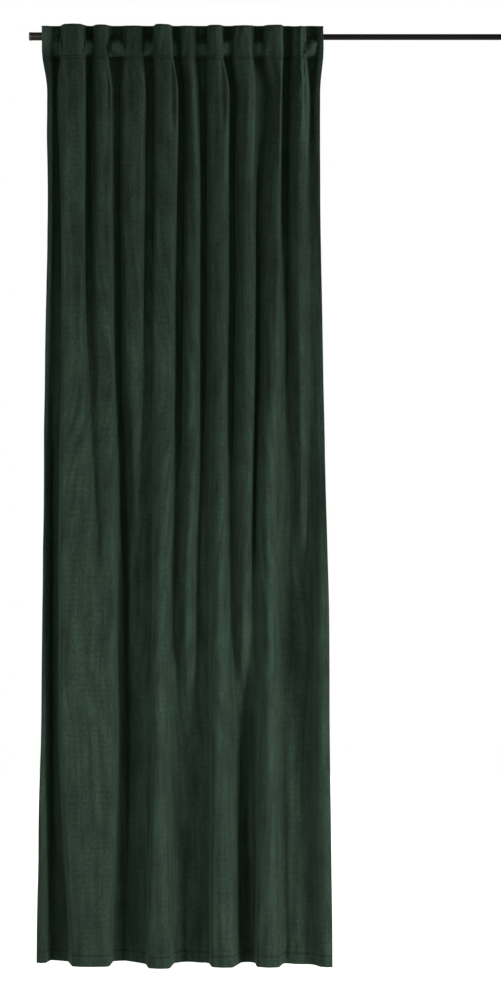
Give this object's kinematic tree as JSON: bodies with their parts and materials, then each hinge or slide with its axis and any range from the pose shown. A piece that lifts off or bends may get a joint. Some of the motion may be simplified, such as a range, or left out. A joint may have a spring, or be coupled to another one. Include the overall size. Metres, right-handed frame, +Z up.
{
  "type": "velvet curtain with telescopic curtain rod",
  "caption": "Floor-length velvet curtain hanging in uneven folds from hidden back loops on a slim black telescopic rod.",
  "frame": {"origin": "on the axis of the rod's outer tube, half way along the whole rod, where its supports hold the rod up", "axes": "+X along the rod to the right as seen from the front, +Y to the back, towards the wall, +Z up, so the front of the cloth faces -Y"},
  "size_m": [1.3, 0.1631, 2.504],
  "materials": {
    "velvet": "short-pile cotton velvet, dark grey-green, soft sheen along the folds",
    "tape_webbing": "plain woven tape, off-white, matt",
    "rod_steel": "black powder coat, semi-matt",
    "plug_plastic": "moulded black plastic, semi-matt"
  },
  "bodies": {
    "root": {"curtain_panel": "velvet", "heading_tape": "tape_webbing", "back_loop_01": "tape_webbing", "back_loop_02": "tape_webbing", "back_loop_03": "tape_webbing", "back_loop_04": "tape_webbing", "back_loop_05": "tape_webbing", "back_loop_06": "tape_webbing", "back_loop_07": "tape_webbing", "back_loop_08": "tape_webbing", "back_loop_09": "tape_webbing", "back_loop_10": "tape_webbing", "rod_outer_tube": "rod_steel", "rod_inner_tube": "rod_steel", "rod_plug_left": "plug_plastic", "rod_plug_right": "plug_plastic"}
  },
  "joints": []
}
